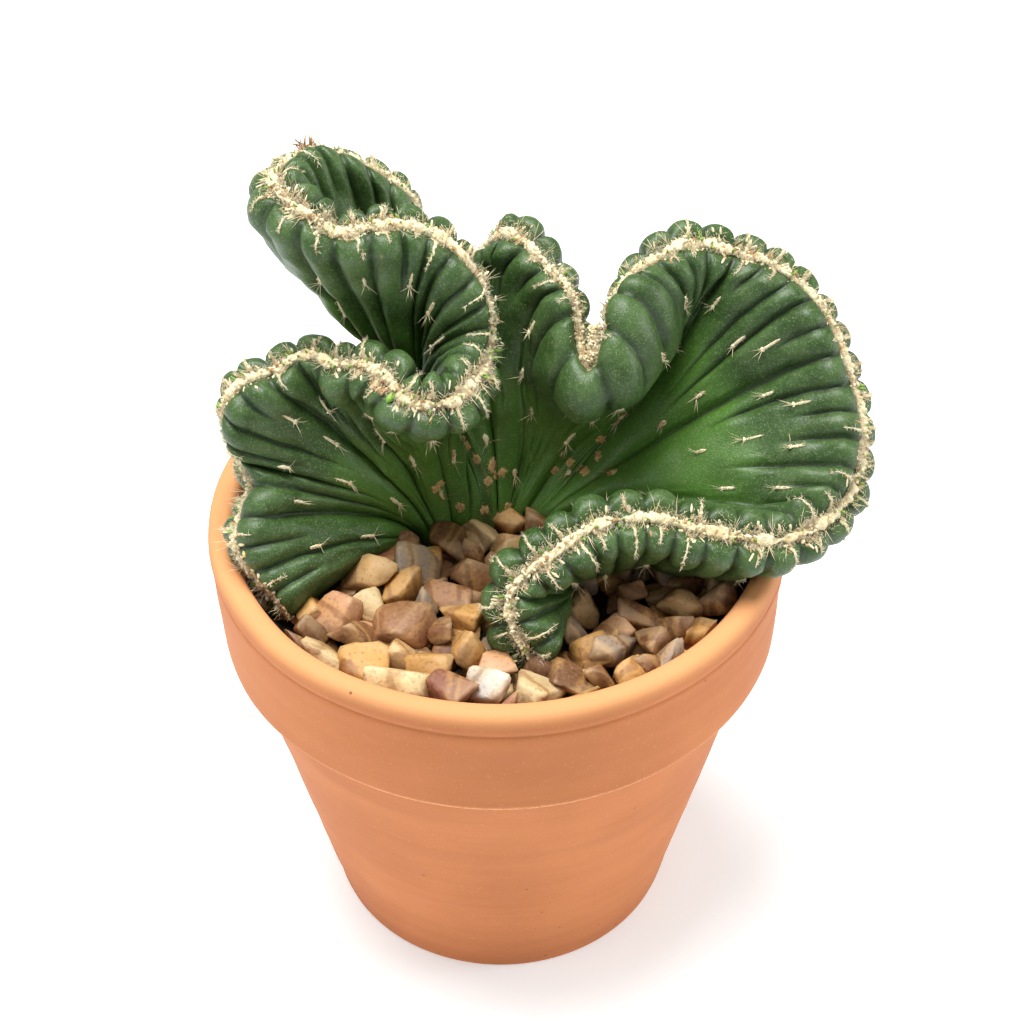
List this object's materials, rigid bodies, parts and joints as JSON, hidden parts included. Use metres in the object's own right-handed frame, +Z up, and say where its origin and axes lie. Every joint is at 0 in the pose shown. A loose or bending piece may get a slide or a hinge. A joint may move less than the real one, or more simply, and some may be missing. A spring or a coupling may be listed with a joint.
{
  "type": "potted crested cactus",
  "caption": "Crested cactus, one thick folded fan with a woolly crest, growing from gravel in a plain round clay pot.",
  "frame": {"origin": "centre of the bounding box in plan, on the surface that the pot stands on", "axes": "+Z up; the side that the picture shows most of faces -Y; +X to that view's right"},
  "size_m": [0.1379, 0.12, 0.1798],
  "materials": {
    "terracotta": "unglazed fired clay, matt, slightly lighter on the lip",
    "soil": "dark, loose potting soil",
    "gravel_stone": "angular, slightly worn stone chips in gold, tan, grey, pink and rust browns",
    "cactus_skin": "waxy dark green skin with a soft sheen",
    "crest_wool": "cream wool with fine pale spines"
  },
  "bodies": {
    "root": {"pot": "terracotta", "soil": "soil", "gravel": "gravel_stone", "cactus": "cactus_skin", "crest_wool": "crest_wool"}
  },
  "joints": []
}
